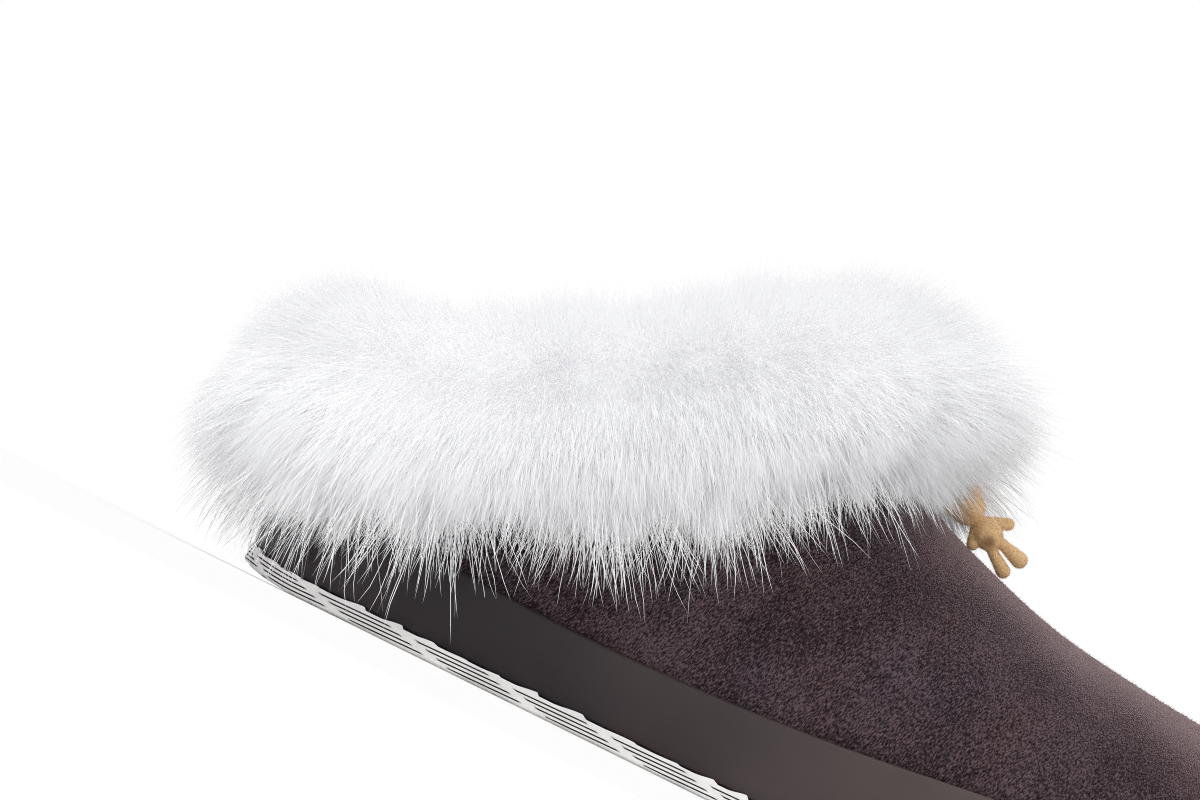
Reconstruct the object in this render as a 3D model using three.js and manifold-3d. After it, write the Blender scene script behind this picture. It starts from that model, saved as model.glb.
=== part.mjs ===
// A fur mule for the right foot: a low-backed slip-on with a moulded tread, a smooth platform cup,
// a suede upper drawn over a round-toed last, a deep fur collar and a small flocked toy on the instep.
// Millimetres. +X points to the toe, +Y to the inner side of the foot and +Z up from the floor.
import * as THREE from "three";
import { mergeVertices } from "three/addons/utils/BufferGeometryUtils.js";
import Module from "manifold-3d";

const wasm = await Module();
wasm.setup();

// Driving dimensions
const SOLE_LENGTH = 258;
const OUTSOLE_THICKNESS = 4;
const TOE_SPRING = 13;
const TOE_SPRING_START = 166;
const HEEL_BEVEL = 2.2;
const HEEL_BEVEL_LENGTH = 16;
const RIM_COVER = 7; // how far the cup's rim stands up over the upper's lower edge
const FEATHER_INSET = 2.8; // from the cup's outer face to the upper's lower edge
const UPPER_WALL = 2.2; // suede with its backing
const UPPER_SWELL = 2; // how far the suede swells out above the rim
const INSOLE_THICKNESS = 4;
const PIECE_GAP = 0.3;
const RIDGE_BACK = 24; // where the last's ridge begins, behind the collar
const RIDGE_FRONT = 219; // where the ridge runs out over the toes
const AROUND = 60; // points round each closed outline
const RISE = 11; // steps from the upper's lower edge to the last's ridge
const WELD = 1e-4; // points nearer than this are one point

// The sole's outline: half widths on the outer and inner side of the foot at stations from the heel
const OUTLINE = [
  { x: 5.5, outer: 19, inner: 18.5 },
  { x: 19, outer: 30.5, inner: 29.5 },
  { x: 42, outer: 34, inner: 32.5 },
  { x: 76, outer: 35.5, inner: 32 },
  { x: 112, outer: 39, inner: 33.5 },
  { x: 150, outer: 43.5, inner: 39.5 },
  { x: 182, outer: 45, inner: 44 },
  { x: 212, outer: 41, inner: 44.5 },
  { x: 235, outer: 31, inner: 39.5 },
  { x: 250, outer: 16, inner: 28.5 },
];
const TOE_SIDE = 7.5; // the toe's tip lies towards the big toe

// Height of the cup's rim: lowest under the arch, higher at the heel and over the toe
const RIM = [
  { x: 0, height: 24.5 },
  { x: 30, height: 22 },
  { x: 62, height: 20.2 },
  { x: 98, height: 20.4 },
  { x: 130, height: 22.5 },
  { x: 167, height: 27 },
  { x: 210, height: 32.5 },
  { x: 258, height: 37.5 },
];

// The last's ridge along the foot: its height, how far it leans inwards, and how square its sections are
const RIDGE = [
  { x: 24, height: 128, lean: 0, square: 3 },
  { x: 60, height: 126, lean: 0.5, square: 2.8 },
  { x: 92, height: 107, lean: 1, square: 2.4 },
  { x: 116, height: 91, lean: 1.5, square: 2.1 },
  { x: 132, height: 82, lean: 2, square: 2.05 },
  { x: 148, height: 75.4, lean: 2.5, square: 2.05 },
  { x: 164, height: 70, lean: 3, square: 2.1 },
  { x: 184, height: 66.6, lean: 4, square: 2.2 },
  { x: 204, height: 64.8, lean: 5, square: 2.25 },
  { x: 219, height: 64.2, lean: 6, square: 2.3 },
];

// The collar's top line seen from the side
const TOP_LINE = [
  { x: -30, height: 40 },
  { x: 4, height: 43 },
  { x: 22, height: 47.5 },
  { x: 42, height: 55 },
  { x: 64, height: 66 },
  { x: 88, height: 79 },
  { x: 116, height: 91 },
  { x: 150, height: 104 },
];

// The fur at the back, on the sides and at the throat: how far it hangs below the top line,
// stands above it and stands out from the wall
const FUR = [
  { place: 0, hang: 27, stand: 19, depth: 16 },
  { place: 0.25, hang: 36, stand: 24, depth: 19 },
  { place: 0.55, hang: 36, stand: 26, depth: 22 },
  { place: 0.8, hang: 30, stand: 27, depth: 27 },
  { place: 1, hang: 22, stand: 15, depth: 32 },
];
// The fur's section, as shares of its hang, stand and depth
const FUR_SECTION = [
  { hang: 0.98, stand: 0, depth: 0.04 },
  { hang: 0.94, stand: 0, depth: 0.34 },
  { hang: 0.66, stand: 0, depth: 0.72 },
  { hang: 0.3, stand: 0, depth: 0.96 },
  { hang: 0, stand: 0.2, depth: 0.98 },
  { hang: 0, stand: 0.6, depth: 0.78 },
  { hang: 0, stand: 0.92, depth: 0.4 },
  { hang: 0, stand: 0.98, depth: 0.05 },
  { hang: 0, stand: 0.74, depth: -0.16 },
  { hang: 0, stand: 0.3, depth: -0.26 },
  { hang: 0.12, stand: 0, depth: -0.26 },
  { hang: 0.26, stand: 0, depth: -0.17 },
];
const FUR_STEPS = 34; // sections round the collar
const FUR_PIECE_GAP = 0.35;
// Rows of locks: which section point they grow from, their length as a share of the fur's hang,
// their other sizes, and how far they lie down the wall
const LOCK_ROWS = [
  { from: 2, count: 26, length: 0.56, width: 17, thickness: 6, lie: 0.98 },
  { from: 3, count: 22, length: 0.52, width: 17, thickness: 6, lie: 0.95 },
  { from: 4, count: 18, length: 0.5, width: 17, thickness: 6, lie: 0.86 },
];
const LOCK_ROOT = 3; // how deep a lock is rooted in the fur
const LOCK_BEND = 0.4; // share of a lock's length where it bends
const LOCK_TAPER = 0.8; // share of its width left at the bend
const LOCK_UNEVEN = 0.18; // how far the locks differ in length
const LOCK_BEAT = 2.4; // turn of the wave that makes them differ, from one lock to the next

// The tread: rows of slots in zones between cross ribs, with a slant to the ribs of the waist
const SLOT_DEPTH = 2.4;
const TREAD_ZONES = [
  { from: 6, to: 20, rows: 5, pitch: 9, slot: 3.4, split: 1, slant: 0 },
  { from: 27, to: 50, rows: 6, pitch: 9, slot: 3.4, split: 1, slant: 0.18 },
  { from: 55, to: 76, rows: 6, pitch: 9, slot: 3.2, split: 2, slant: 0.18 },
  { from: 81, to: 107, rows: 7, pitch: 9, slot: 3.2, split: 1, slant: 0.18 },
  { from: 116, to: 142, rows: 7, pitch: 9.6, slot: 3, split: 1, slant: 0 },
  { from: 148, to: 174, rows: 8, pitch: 9.6, slot: 3, split: 1, slant: 0 },
  { from: 180, to: 206, rows: 8, pitch: 9.6, slot: 3, split: 1, slant: 0 },
  { from: 212, to: 232, rows: 6, pitch: 9.6, slot: 3, split: 1, slant: 0 },
];
const EDGE_MARGIN = 7; // solid rubber left round the edge of the tread
const SLOT_BRIDGE = 4; // rubber between the halves of a split slot
const EDGE_LUGS = 34; // notches round the tread's edge, one between each pair of lugs
const NOTCH_LENGTH = 3.2;
const NOTCH_DEPTH = 1.6;
const NOTCH_HEIGHT = 1.7;
const OUTSOLE_INSET = 0.2; // the tread's edge lies just inside the cup's
const OUTSOLE_EDGE = 0.8; // bevel of the tread's lower edge
const CUP_EDGE = 0.9; // bevel of the cup's edges
const INSOLE_EDGE = 1; // bevel of the footbed's upper edge

// The toy lies on its side on the instep: its body's middle, and how it slopes down to the toe
const TOY_BODY = { x: 147.2, y: -2, z: 82.1 };
const TOY_SLOPE = THREE.MathUtils.degToRad(27.5);
// Its round parts: places along it from head to feet, across it and to its front
const TOY_BLOBS = [
  { name: "head", along: -6.6, across: 0, front: 0, radius: 3.9, stretch: 0.95 },
  { name: "muzzle", along: -5.7, across: 0, front: 3, radius: 1.7, stretch: 1 },
  { name: "upper ear", along: -9, across: 3.3, front: 0, radius: 1.6, stretch: 1.25 },
  { name: "lower ear", along: -9, across: -3.3, front: 0, radius: 1.6, stretch: 1.25 },
  { name: "body", along: 0.6, across: 0, front: 0, radius: 3.1, stretch: 1.28 },
];
// Its limbs: from a thin root to a thick end, each a place along and across the toy
const TOY_LIMBS = [
  { name: "upper arm", from: [-2.2, 1.6], to: [1.6, 5.2], thin: 1.05, thick: 1.35 },
  { name: "lower arm", from: [-2.2, -1.6], to: [0.4, -4.1], thin: 1.05, thick: 1.3 },
  { name: "upper leg", from: [3, 1.2], to: [9.6, 2.4], thin: 1.15, thick: 1.75 },
  { name: "lower leg", from: [3, -1.2], to: [9.4, -2.1], thin: 1.15, thick: 1.5 },
];
const TOY_CLEARANCE = 0.6; // room left for it in the fur

// Finishes
const suede = new THREE.MeshStandardMaterial({ color: 0x43353a, roughness: 0.95 });
const cupSkin = new THREE.MeshStandardMaterial({ color: 0x3b3233, roughness: 0.6 });
const treadRubber = new THREE.MeshStandardMaterial({ color: 0xc9c6c4, roughness: 0.75 });
const footbed = new THREE.MeshStandardMaterial({ color: 0xe6e0d6, roughness: 0.95 });
const whiteFur = new THREE.MeshStandardMaterial({ color: 0xf2f2f4, roughness: 0.9 });
const tanFlock = new THREE.MeshStandardMaterial({ color: 0xb98f56, roughness: 0.95 });

// A smooth function of x through one column of a table
function curveThrough(rows, column, key = "x") {
  const places = rows.map((row) => row[key]);
  const values = rows.map((row) => row[column]);
  const curve = new THREE.CubicInterpolant(places, values, 1, []);
  return (x) => curve.evaluate(THREE.MathUtils.clamp(x, places[0], places.at(-1)))[0];
}

const rimHeight = curveThrough(RIM, "height");
const ridgeHeight = curveThrough(RIDGE, "height");
const ridgeLean = curveThrough(RIDGE, "lean");
const sectionSquareness = curveThrough(RIDGE, "square");
const topLine = curveThrough(TOP_LINE, "height");

// The floor side of the tread: flat under heel and ball, bevelled at the back and sprung at the toe
function treadHeight(x) {
  const heel = Math.max(0, (HEEL_BEVEL_LENGTH - x) / HEEL_BEVEL_LENGTH);
  const toe = Math.max(0, (x - TOE_SPRING_START) / (SOLE_LENGTH - TOE_SPRING_START));
  return HEEL_BEVEL * heel * heel + TOE_SPRING * toe * toe;
}

// Where the upper's lower edge sits in the cup
function featherHeight(x) {
  return rimHeight(x) - RIM_COVER;
}

// The sole's outline from the heel along the outer side to the toe and back along the inner side
const outlineCurve = new THREE.CatmullRomCurve3(
  [
    new THREE.Vector3(0, 0, 0),
    ...OUTLINE.map((row) => new THREE.Vector3(row.x, -row.outer, 0)),
    new THREE.Vector3(SOLE_LENGTH, TOE_SIDE, 0),
    ...OUTLINE.toReversed().map((row) => new THREE.Vector3(row.x, row.inner, 0)),
  ],
  true,
);
const outlinePoints = outlineCurve.getSpacedPoints(AROUND).slice(0, AROUND);

// The outline moved inwards by a distance, with a height for each point
function insetOutline(distance, heightAt) {
  return outlinePoints.map((point, i) => {
    const before = outlinePoints[(i + AROUND - 1) % AROUND];
    const after = outlinePoints[(i + 1) % AROUND];
    const along = after.clone().sub(before).normalize();
    const x = point.x - along.y * distance;
    const y = point.y + along.x * distance;
    return new THREE.Vector3(x, y, heightAt(x));
  });
}

// A solid from a list of triangles, each three points
function solidOf(triangles) {
  const geometry = new THREE.BufferGeometry().setFromPoints(triangles.flat());
  return solidFromGeometry(geometry);
}

function solidFromGeometry(geometry) {
  const bare = geometry.index ? geometry.toNonIndexed() : geometry.clone();
  bare.deleteAttribute("normal");
  bare.deleteAttribute("uv");
  const merged = mergeVertices(bare, WELD);
  const mesh = new wasm.Mesh({
    numProp: 3,
    vertProperties: merged.attributes.position.array,
    triVerts: new Uint32Array(merged.index.array),
  });
  return new wasm.Manifold(mesh);
}

function geometryOf(solid) {
  const mesh = solid.getMesh();
  const geometry = new THREE.BufferGeometry();
  geometry.setAttribute("position", new THREE.BufferAttribute(mesh.vertProperties, 3));
  geometry.setIndex(new THREE.BufferAttribute(mesh.triVerts, 1));
  return geometry;
}

function union(solids) {
  return solids.reduce((joined, solid) => joined.add(solid));
}

// The two triangles of a four-cornered face
function face(a, b, c, d) {
  return [
    [a, b, c],
    [a, c, d],
  ];
}

// Faces between two closed rows of points, the second above the first
function band(lower, upper) {
  return lower.flatMap((point, i) => {
    const next = (i + 1) % lower.length;
    return face(point, lower[next], upper[next], upper[i]);
  });
}

// A cap across a closed row, as strips from its outer side to its inner side, facing up or down
function cap(row, facesUp) {
  const half = row.length / 2;
  const strips = [];
  for (let i = 0; i < half; i += 1) {
    const a = row[i];
    const b = row[i + 1];
    const c = row[row.length - i - 1];
    const d = row[(row.length - i) % row.length];
    const corners = facesUp ? [a, b, c, d] : [d, c, b, a];
    strips.push(...face(...corners));
  }
  return strips.filter(([p, q, r]) => !p.equals(q) && !q.equals(r) && !r.equals(p));
}

// A solid of closed rows stacked from the lowest to the highest, capped at both ends
function stack(rows) {
  const sides = rows.slice(1).flatMap((row, i) => band(rows[i], row));
  return solidOf([...cap(rows[0], false), ...sides, ...cap(rows[rows.length - 1], true)]);
}

// The last: rows of points from the upper's lower edge to its ridge, each point pair's ridge shared
function lastRows() {
  const feather = insetOutline(FEATHER_INSET, featherHeight);
  const rows = Array.from({ length: RISE + 1 }, () => []);
  feather.forEach((foot, i) => {
    const partner = feather[(AROUND - i) % AROUND];
    const share = (foot.x + partner.x) / 2 / SOLE_LENGTH;
    const ridgeX = THREE.MathUtils.lerp(RIDGE_BACK, RIDGE_FRONT, share);
    const ridge = new THREE.Vector3(ridgeX, ridgeLean(ridgeX), ridgeHeight(ridgeX));
    const outward = new THREE.Vector3(foot.x - ridge.x, foot.y - ridge.y, 0).normalize();
    const power = 2 / sectionSquareness(ridgeX);
    for (let j = 0; j <= RISE; j += 1) {
      const angle = (j / RISE) * (Math.PI / 2);
      const reach = j === RISE ? 0 : Math.cos(angle) ** power;
      const climb = Math.sin(angle) ** power;
      const swell = UPPER_SWELL * Math.sin(2 * angle) ** 2;
      const point = new THREE.Vector3(
        THREE.MathUtils.lerp(ridge.x, foot.x, reach),
        THREE.MathUtils.lerp(ridge.y, foot.y, reach),
        THREE.MathUtils.lerp(foot.z, ridge.z, climb),
      );
      rows[j].push(point.addScaledVector(outward, swell * reach));
    }
  });
  return rows;
}

// The way out of the last at one of its points, from the points round it
function surfaceNormal(rows, j, i) {
  const partner = (AROUND - i) % AROUND;
  const along = rows[j][(i + 1) % AROUND].clone().sub(rows[j][(i + AROUND - 1) % AROUND]);
  const above = j < RISE ? rows[j + 1][i] : rows[RISE - 1][partner];
  const below = rows[Math.max(j - 1, 0)][i];
  const normal = along.cross(above.clone().sub(below));
  if (j === 0) normal.setZ(0);
  return normal.lengthSq() > 0 ? normal.normalize() : normal.set(0, 0, 1);
}

// The last's rows moved out by a distance along its own surface, its lower edge kept level
function offsetRows(rows, distance) {
  return rows.map((row, j) =>
    row.map((point, i) => point.clone().addScaledVector(surfaceNormal(rows, j, i), distance)),
  );
}

// The last as a solid block, its underside moved down by a drop
function lastBlock(rows, drop) {
  const base = rows[0].map((point) => point.clone().setZ(point.z - drop));
  const sides = rows.slice(1).flatMap((row, j) => band(rows[j], row));
  const skirt = drop > 0 ? band(base, rows[0]) : [];
  const faces = [...cap(base, false), ...skirt, ...sides];
  return solidOf(faces.filter(([p, q, r]) => !p.equals(q) && !q.equals(r) && !r.equals(p)));
}

// Everything above the collar's top line, moved up by a lift
function collarCutter(lift) {
  const back = TOP_LINE[0].x;
  const front = TOP_LINE.at(-1).x;
  const steps = 24;
  const sky = 200;
  const halfSpan = 80;
  const shape = new THREE.Shape();
  shape.moveTo(back, topLine(back) + lift);
  for (let i = 1; i <= steps; i += 1) {
    const x = THREE.MathUtils.lerp(back, front, i / steps);
    shape.lineTo(x, topLine(x) + lift);
  }
  shape.lineTo(front, sky);
  shape.lineTo(back, sky);
  const block = new THREE.ExtrudeGeometry(shape, { depth: 2 * halfSpan, bevelEnabled: false });
  block.rotateX(Math.PI / 2).translate(0, halfSpan, 0);
  return solidFromGeometry(block);
}

const last = lastRows();
const lastOuter = offsetRows(last, PIECE_GAP);
const lastInner = offsetRows(last, -UPPER_WALL);

// Upper: the last's skin, cut off at the collar and open underneath
function makeUpper() {
  const below = UPPER_WALL + RIM_COVER;
  const shell = lastBlock(last, 0).subtract(lastBlock(lastInner, below));
  return shell.subtract(collarCutter(0));
}

// Cup: a platform with a pocket that the upper's lower edge stands in
function makeMidsole() {
  const base = (x) => treadHeight(x) + OUTSOLE_THICKNESS + PIECE_GAP;
  const block = stack([
    insetOutline(CUP_EDGE, base),
    insetOutline(0, (x) => base(x) + CUP_EDGE),
    insetOutline(0, (x) => rimHeight(x) - CUP_EDGE),
    insetOutline(CUP_EDGE, rimHeight),
  ]);
  return block.subtract(lastBlock(lastOuter, PIECE_GAP));
}

// Insole: a footbed on the pocket's floor, inside the upper
function makeInsole() {
  const inset = FEATHER_INSET + UPPER_WALL + 2 * PIECE_GAP;
  const top = (x) => featherHeight(x) + INSOLE_THICKNESS;
  return stack([
    insetOutline(inset, featherHeight),
    insetOutline(inset, (x) => top(x) - INSOLE_EDGE),
    insetOutline(inset + INSOLE_EDGE, top),
  ]);
}

// A box-shaped cutter whose top lies in the tread, turned to the tread's slope
function slotCutter(x, y, length, width) {
  const reach = 20;
  const slope = Math.atan(treadHeight(x + 0.5) - treadHeight(x - 0.5));
  const box = new THREE.BoxGeometry(length, width, reach);
  box.translate(0, 0, SLOT_DEPTH - reach / 2);
  box.rotateY(-slope).translate(x, y, treadHeight(x));
  return solidFromGeometry(box);
}

// How far the slots may reach to the outer and the inner side at a station
function treadSpan(x) {
  const stretch = 8;
  const near = outlinePoints.filter((point) => Math.abs(point.x - x) < stretch);
  const ys = near.map((point) => point.y);
  return { outer: Math.min(...ys) + EDGE_MARGIN, inner: Math.max(...ys) - EDGE_MARGIN };
}

// Slots in the tread's floor side, every other row split in two where its zone says so
function slotCutters() {
  const cutters = [];
  for (const zone of TREAD_ZONES) {
    for (let row = 0; row < zone.rows; row += 1) {
      const y = (row - (zone.rows - 1) / 2) * zone.pitch;
      const shift = y * zone.slant;
      const split = row % 2 === 1 ? zone.split : 1;
      const length = (zone.to - zone.from - (split - 1) * SLOT_BRIDGE) / split;
      for (let k = 0; k < split; k += 1) {
        const x = zone.from + length / 2 + k * (length + SLOT_BRIDGE) - shift;
        const ends = [treadSpan(x - length / 2), treadSpan(x + length / 2)];
        const fits = ends.every((span) => y > span.outer && y < span.inner);
        if (fits) cutters.push(slotCutter(x, y, length, zone.slot));
      }
    }
  }
  return cutters;
}

// Notches between the lugs round the tread's edge
function notchCutters() {
  const spots = outlineCurve.getSpacedPoints(EDGE_LUGS).slice(0, EDGE_LUGS);
  return spots.map((spot, i) => {
    const along = outlineCurve.getTangentAt(i / EDGE_LUGS);
    const box = new THREE.BoxGeometry(NOTCH_LENGTH, 2 * NOTCH_DEPTH, NOTCH_HEIGHT);
    box.rotateZ(Math.atan2(along.y, along.x));
    const height = treadHeight(spot.x) + OUTSOLE_THICKNESS - NOTCH_HEIGHT / 2 + PIECE_GAP;
    return solidFromGeometry(box.translate(spot.x, spot.y, height));
  });
}

// Outsole: a moulded tread of even thickness, with slots in its floor side and notches in its edge
function makeOutsole() {
  const plate = stack([
    insetOutline(OUTSOLE_INSET + OUTSOLE_EDGE, treadHeight),
    insetOutline(OUTSOLE_INSET, (x) => treadHeight(x) + OUTSOLE_EDGE),
    insetOutline(OUTSOLE_INSET, (x) => treadHeight(x) + OUTSOLE_THICKNESS),
  ]);
  return plate.subtract(union([...slotCutters(), ...notchCutters()]));
}

// Where the collar's top line crosses between two points of the last, with the way out there
function crossing(low, lowOut, high, highOut) {
  const below = topLine(low.x) - low.z;
  const above = high.z - topLine(high.x);
  if (below <= 0 || above < 0) return [];
  const share = below / (below + above);
  return [{ at: low.clone().lerp(high, share), out: lowOut.lerp(highOut, share) }];
}

// The collar's edge on the last, in order round the foot
function collarEdge() {
  const edge = [];
  const outAt = (j, i) => surfaceNormal(last, j, i);
  for (let i = 0; i < AROUND; i += 1) {
    for (let j = 1; j <= RISE; j += 1) {
      edge.push(...crossing(last[j - 1][i], outAt(j - 1, i), last[j][i], outAt(j, i)));
    }
  }
  for (let i = 1; i < AROUND / 2; i += 1) {
    const ahead = last[RISE][i + 1];
    const behind = last[RISE][i];
    edge.push(...crossing(ahead, outAt(RISE, i + 1), behind, outAt(RISE, i)));
  }
  return edge.sort((p, q) => angleOf(p.at) - angleOf(q.at));
}

// The angle of a point round the middle of the collar, from the back through the outer side
function angleOf(point) {
  const collarMiddle = 62;
  return Math.atan2(point.y, collarMiddle - point.x);
}

// Where a point of the collar lies between the back, 0, and the throat, 1
function placeOf(point, edge) {
  const xs = edge.map((p) => p.at.x);
  const back = Math.min(...xs);
  return (point.x - back) / (Math.max(...xs) - back);
}

// Frames round the collar: a point, the way down the wall, the way out, and the fur's sizes there
function furFrames(steps, shift) {
  const edge = collarEdge();
  const loop = new THREE.CatmullRomCurve3(edge.map((p) => p.at), true, "centripetal");
  const outs = new THREE.CatmullRomCurve3(edge.map((p) => p.out), true, "centripetal");
  const hang = curveThrough(FUR, "hang", "place");
  const stand = curveThrough(FUR, "stand", "place");
  const depth = curveThrough(FUR, "depth", "place");
  return Array.from({ length: steps }, (_, k) => {
    const t = loop.getUtoTmapping((k + shift) / steps);
    const at = loop.getPoint(t);
    const along = loop.getTangent(t);
    const down = outs.getPoint(t).cross(along).normalize();
    const out = along.clone().cross(down).normalize();
    const place = placeOf(at, edge);
    return { at, down, out, along, hang: hang(place), stand: stand(place), depth: depth(place) };
  });
}

// A point of the fur's section in one of those frames
function furPoint(frame, row) {
  const drop = row.hang * frame.hang - row.stand * frame.stand;
  return frame.at
    .clone()
    .addScaledVector(frame.down, drop)
    .addScaledVector(frame.out, row.depth * frame.depth);
}

// A three-sided lock with a bend in it, tapering from a root in the fur to a point
function lock(root, direction, across, row, length) {
  const normal = direction.clone().cross(across).normalize();
  const place = (along, side, rise) =>
    root
      .clone()
      .addScaledVector(direction, along)
      .addScaledVector(across, side)
      .addScaledVector(normal, rise);
  const ring = (along, size, lift) => [
    place(along, (-row.width / 2) * size, lift - (row.thickness / 2) * size),
    place(along, (row.width / 2) * size, lift - (row.thickness / 2) * size),
    place(along, 0, lift + (row.thickness / 2) * size),
  ];
  const base = ring(-LOCK_ROOT, 1, -LOCK_ROOT / 2);
  const middle = ring(length * LOCK_BEND, LOCK_TAPER, 0);
  const tip = place(length, 0, -row.thickness / 2);
  const point = middle.map((corner, k) => [corner, middle[(k + 1) % middle.length], tip]);
  return solidOf([base.toReversed(), ...band(base, middle), ...point]);
}

// The locks, each row starting half a step on from the row before
function furLocks() {
  return LOCK_ROWS.flatMap((row, level) =>
    furFrames(row.count, (level % 2) / 2).map((frame, k) => {
      const root = furPoint(frame, FUR_SECTION[row.from]);
      const lift = Math.sqrt(1 - row.lie * row.lie);
      const direction = frame.down
        .clone()
        .multiplyScalar(row.lie)
        .addScaledVector(frame.out, lift);
      const uneven = 1 + LOCK_UNEVEN * Math.sin(k * LOCK_BEAT + level);
      return lock(root, direction, frame.along, row, row.length * frame.hang * uneven);
    }),
  );
}

// The pelt's own mass: the section carried round the collar
function furRing() {
  const rows = furFrames(FUR_STEPS, 0).map((frame) => FUR_SECTION.map((row) => furPoint(frame, row)));
  const faces = rows.flatMap((row, i) => band(row, rows[(i + 1) % rows.length]));
  return solidOf(faces);
}

// Fur collar: the ring and its locks, cleared of the wall it folds over, the cup and the toy
function makeFur(toyRoom) {
  const mass = union([furRing(), ...furLocks()]);
  const outerSkin = lastBlock(offsetRows(last, FUR_PIECE_GAP), RIM_COVER);
  const innerSkin = lastBlock(offsetRows(last, -UPPER_WALL - FUR_PIECE_GAP), 2 * RIM_COVER);
  const wall = outerSkin.subtract(innerSkin).subtract(collarCutter(FUR_PIECE_GAP));
  const cup = stack([
    insetOutline(-FUR_PIECE_GAP, () => 0),
    insetOutline(-FUR_PIECE_GAP, (x) => rimHeight(x) + FUR_PIECE_GAP),
  ]);
  const pieces = mass.subtract(wall).subtract(cup).subtract(toyRoom).decompose();
  return pieces.reduce((largest, piece) => (piece.volume() > largest.volume() ? piece : largest));
}

// A place on the toy, from its own directions: along from head to feet, across, and to its front
function toyPoint(along, across, front) {
  const cos = Math.cos(TOY_SLOPE);
  const sin = Math.sin(TOY_SLOPE);
  return new THREE.Vector3(
    TOY_BODY.x + along * cos + across * sin,
    TOY_BODY.y - front,
    TOY_BODY.z - along * sin + across * cos,
  );
}

// The toy: head, ears, muzzle, body and limbs as one moulded figure, swollen by a margin
function makeToy(margin) {
  const blobs = TOY_BLOBS.map((blob) => {
    const radius = blob.radius + margin;
    const ball = new THREE.SphereGeometry(radius, 8, 6);
    ball.rotateX(Math.PI / 2).scale(blob.stretch, 1, 1).rotateY(TOY_SLOPE);
    const at = toyPoint(blob.along, blob.across, blob.front);
    return solidFromGeometry(ball.translate(at.x, at.y, at.z));
  });
  const limbs = TOY_LIMBS.map((limb) => {
    const from = toyPoint(...limb.from, 0);
    const to = toyPoint(...limb.to, 0);
    const length = from.distanceTo(to);
    const thin = limb.thin + margin;
    const thick = limb.thick + margin;
    const profile = new THREE.Path();
    profile.absarc(0, 0, thin, -Math.PI / 2, 0);
    profile.absarc(0, length, thick, 0, Math.PI / 2);
    const limbShape = new THREE.LatheGeometry(profile.getPoints(1), 7);
    const turn = new THREE.Quaternion().setFromUnitVectors(
      new THREE.Vector3(0, 1, 0),
      to.clone().sub(from).normalize(),
    );
    limbShape.applyQuaternion(turn).translate(from.x, from.y, from.z);
    return solidFromGeometry(limbShape);
  });
  return union([...blobs, ...limbs]);
}

function piece(name, solid, material) {
  const mesh = new THREE.Mesh(geometryOf(solid), material);
  mesh.name = name;
  return mesh;
}

const mule = new THREE.Group();
mule.add(
  piece("outsole", makeOutsole(), treadRubber),
  piece("midsole", makeMidsole(), cupSkin),
  piece("insole", makeInsole(), footbed),
  piece("upper", makeUpper(), suede),
  piece("fur_collar", makeFur(makeToy(TOY_CLEARANCE)), whiteFur),
  piece("charm_bear", makeToy(0), tanFlock),
);

// The frame's origin lies on the floor under the middle of the whole mule
const middle = new THREE.Box3().setFromObject(mule).getCenter(new THREE.Vector3());
mule.children.forEach((mesh) => mesh.position.set(-middle.x, -middle.y, 0));

export default mule;
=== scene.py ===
import math

import bmesh
import bpy
import numpy as np
from mathutils import Matrix, Vector


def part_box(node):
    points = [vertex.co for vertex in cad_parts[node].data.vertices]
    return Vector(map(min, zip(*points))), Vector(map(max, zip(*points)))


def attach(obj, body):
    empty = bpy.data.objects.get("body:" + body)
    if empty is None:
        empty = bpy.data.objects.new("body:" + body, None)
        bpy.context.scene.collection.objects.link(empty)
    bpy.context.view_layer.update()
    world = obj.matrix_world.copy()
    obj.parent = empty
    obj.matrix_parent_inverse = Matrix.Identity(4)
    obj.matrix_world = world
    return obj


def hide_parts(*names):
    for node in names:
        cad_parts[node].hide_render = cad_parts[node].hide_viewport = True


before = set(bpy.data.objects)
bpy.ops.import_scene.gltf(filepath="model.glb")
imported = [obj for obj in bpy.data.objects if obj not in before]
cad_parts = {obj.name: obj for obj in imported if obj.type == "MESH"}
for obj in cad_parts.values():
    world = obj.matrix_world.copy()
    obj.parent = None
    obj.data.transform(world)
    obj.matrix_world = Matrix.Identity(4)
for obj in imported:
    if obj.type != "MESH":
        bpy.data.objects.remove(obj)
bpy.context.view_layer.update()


# Tread: a thin plate of pale moulded rubber, glued under the cup. Its floor side keeps the slots of
# the CAD part. Its side wall has fine moulded lines in groups, and small tabs that lap over the cup.
MM = 0.001
WELD = 1e-6  # metres
SOLE_LENGTH = 258
TREAD_THICKNESS = 4
TOE_SPRING = 13
TOE_SPRING_START = 166
HEEL_BEVEL = 2.2
HEEL_BEVEL_LENGTH = 16
AROUND = 400  # points round each closed outline
FINE_STEPS = 20  # fine steps for each of those points
WALL_AROUND = 1000  # points round the tread's finely lined wall
# The sole's outline: distance from the heel, half width on the outer side and on the inner side
OUTLINE = np.array([
    (5.5, 19, 18.5), (19, 30.5, 29.5), (42, 34, 32.5), (76, 35.5, 32), (112, 39, 33.5),
    (150, 43.5, 39.5), (182, 45, 44), (212, 41, 44.5), (235, 31, 39.5), (250, 16, 28.5),
])
TOE_SIDE = 7.5  # the toe's tip lies towards the big toe
LINE_HEIGHTS = (0.95, 1.7, 2.45, 3.2)
LINE_WIDTH = 0.34
LINE_DEPTH = 0.32
LINE_SLANT = 0.5
LINE_GROUP = 23.5  # length of one group of lines and the bare rubber after it
LINE_SHARE = 0.78  # the lines' share of a group
LINE_END = 0.05  # share of a group over which a line deepens and runs out
LINE_STAGGER = 2.9  # each line of a group lies this far behind the one below
TAB_STEP = 9.4
TAB_SWAY = 0.3
TAB_SWAY_WAVE = 71  # length over which the tabs draw together and apart
TAB_RISE = 0.75
TAB_RISE_WAVE = 43  # length over which the tabs rise more and less
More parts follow.
